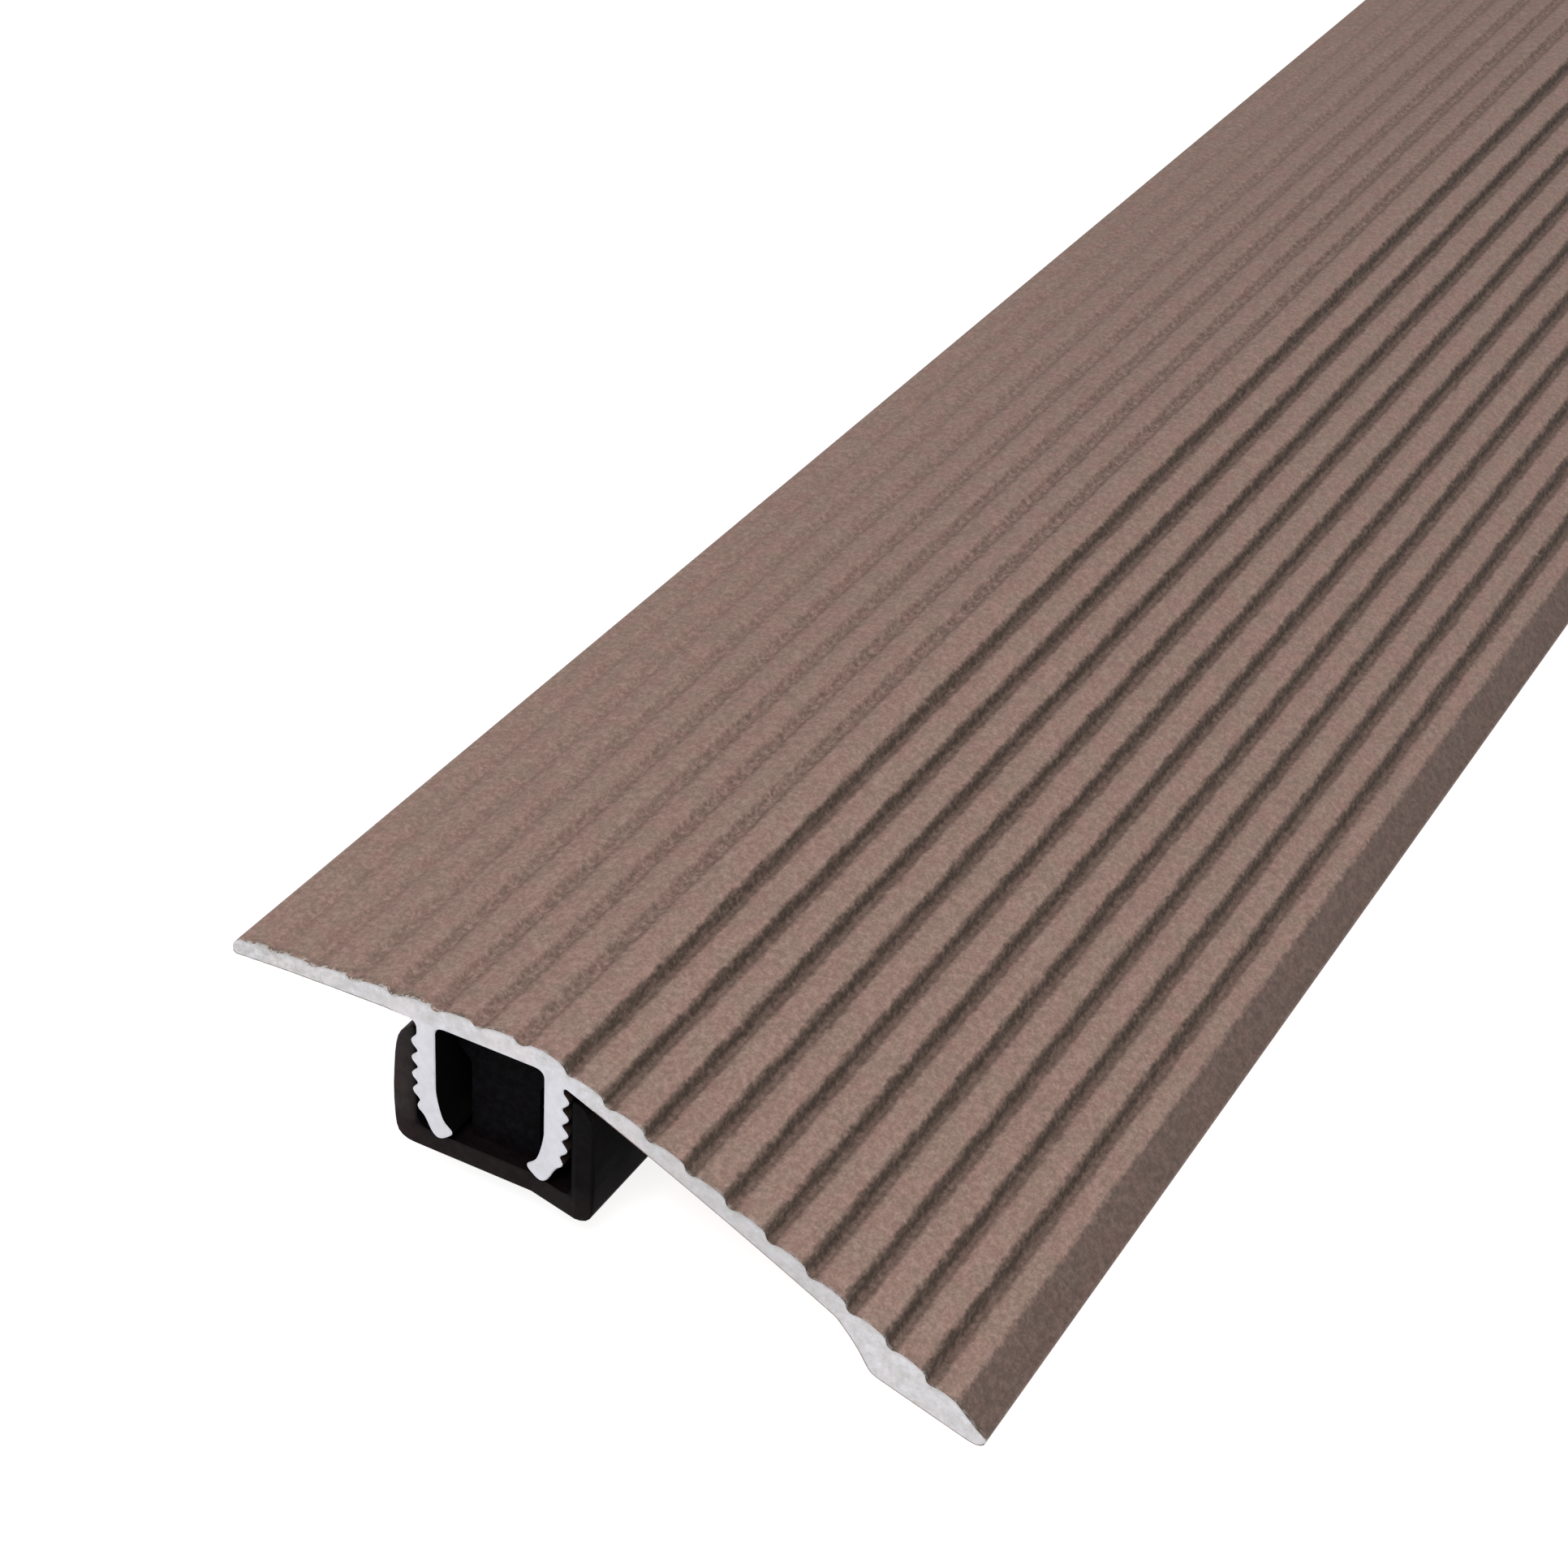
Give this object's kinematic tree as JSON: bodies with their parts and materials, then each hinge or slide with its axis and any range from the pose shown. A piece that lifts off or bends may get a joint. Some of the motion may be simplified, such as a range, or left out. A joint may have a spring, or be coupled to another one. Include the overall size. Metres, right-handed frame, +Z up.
{
  "type": "threshold strip",
  "caption": "Two-level threshold strip: ribbed anodised aluminium ramp cover with toothed legs, pressed into screw-down plastic channel clips.",
  "frame": {"origin": "middle of the line of clip screw holes, on the plane of the clips' foot", "axes": "+X across the strip towards the toe of the ramp, +Y along the strip, +Z up"},
  "size_m": [0.0431, 0.9, 0.0133],
  "materials": {
    "anodised_cover": "matte taupe-brown anodised, extruded ribs; the two sawn ends are bare",
    "clip_plastic": "black moulded plastic, matte"
  },
  "bodies": {
    "clip_row": {"fixing_clip_1": "clip_plastic", "fixing_clip_2": "clip_plastic", "fixing_clip_3": "clip_plastic", "fixing_clip_4": "clip_plastic", "fixing_clip_5": "clip_plastic", "fixing_clip_6": "clip_plastic", "fixing_clip_7": "clip_plastic"},
    "cover": {"cover_profile": "anodised_cover"}
  },
  "joints": [
    {"name": "cover_height", "type": "slide", "parent": "clip_row", "child": "cover", "axis": [0, 0, 1], "range_m": [0, 0.0034]}
  ]
}
